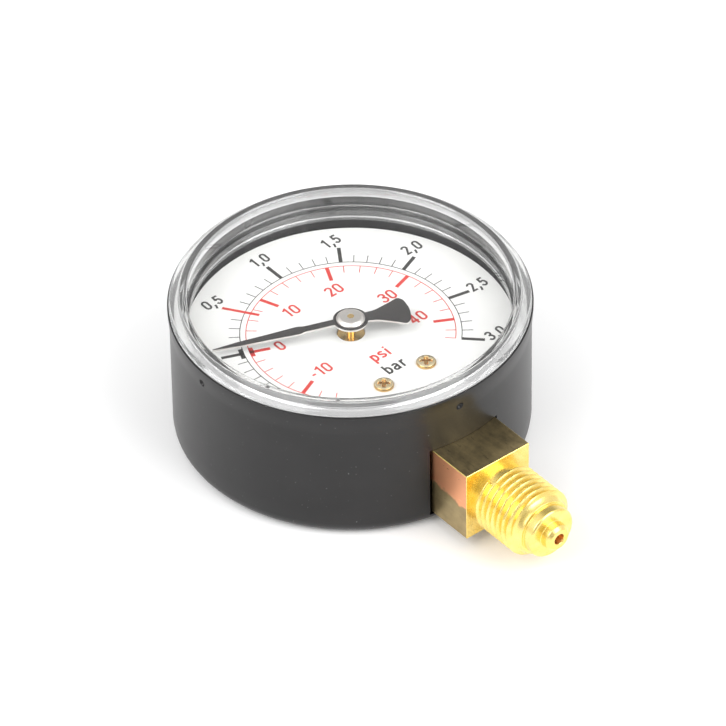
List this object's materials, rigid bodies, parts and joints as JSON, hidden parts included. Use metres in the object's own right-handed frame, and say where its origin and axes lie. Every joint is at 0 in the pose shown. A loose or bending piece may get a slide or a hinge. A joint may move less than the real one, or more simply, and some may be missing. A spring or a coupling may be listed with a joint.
{
  "type": "pressure gauge",
  "caption": "Round dial pressure gauge with a lower threaded connection, a clear snap-in window and a Bourdon tube movement that turns the pointer.",
  "frame": {"origin": "centre of the case's flat back face, on the pointer's axis", "axes": "+Z out of the dial along the pointer's axis, +Y towards twelve o'clock on the dial, -Y along the connection"},
  "size_m": [0.0636, 0.0881, 0.029],
  "materials": {
    "case_paint": "satin",
    "clear_plastic": "clear polished",
    "dial_white": "satin",
    "dial_black_ink": "satin",
    "dial_red_ink": "satin",
    "brass_bright": "turned",
    "stem_brass": "machined, tarnished flats",
    "bronze": "drawn",
    "plated_steel": "zinc plated",
    "bright_metal": "turned",
    "pointer_black": "satin"
  },
  "bodies": {
    "housing": {"case": "case_paint", "window": "clear_plastic", "dial": "dial_white", "dial_screws": "brass_bright", "stem": "stem_brass", "case_screws": "plated_steel", "bourdon_tube": "bronze", "movement_back_plate": "brass_bright", "movement_front_plate": "brass_bright", "movement_pillars": "brass_bright", "plate_screws": "plated_steel", "movement_screws": "plated_steel", "pinion_bushing": "brass_bright", "hairspring": "bronze", "hairspring_stud": "brass_bright"},
    "pointer_group": {"pinion_shaft": "brass_bright", "hairspring_collet": "brass_bright", "pointer_blade": "pointer_black", "pointer_hub": "bright_metal"},
    "sector_group": {"sector_gear": "brass_bright", "sector_arbor": "plated_steel", "link_pin": "plated_steel"},
    "link_group": {"link": "plated_steel"},
    "tube_end_group": {"tube_end": "brass_bright", "tube_end_pin": "plated_steel"}
  },
  "joints": [
    {"name": "pointer_turn", "type": "hinge", "parent": "housing", "child": "pointer_group", "pos_m": [0, 0, 0.015], "axis": [0, 0, 1], "range_deg": [-200.2, 69.8], "stiffness_Nm_per_rad": 0.00002},
    {"name": "sector_turn", "type": "hinge", "parent": "housing", "child": "sector_group", "pos_m": [0.00778, -0.00778, 0.0095], "axis": [0, 0, 1], "range_deg": [-7.2, 20.3]},
    {"name": "link_turn", "type": "hinge", "parent": "sector_group", "child": "link_group", "pos_m": [0.01342, -0.00983, 0.0105], "axis": [0, 0, 1], "range_deg": [-23.6, 8.4]},
    {"name": "tube_end_turn", "type": "hinge", "parent": "housing", "child": "tube_end_group", "pos_m": [-0.004, 0.00657, 0.0095], "axis": [0, 0, 1], "range_deg": [-2, 5.6], "deforming": ["bourdon_tube"]}
  ],
  "couplings": [
    {"joint": "sector_turn", "follows": "pointer_turn", "ratio": -0.1},
    {"joint": "link_turn", "follows": "pointer_turn", "ratio": 0.11654},
    {"joint": "tube_end_turn", "follows": "pointer_turn", "ratio": -0.026813}
  ]
}
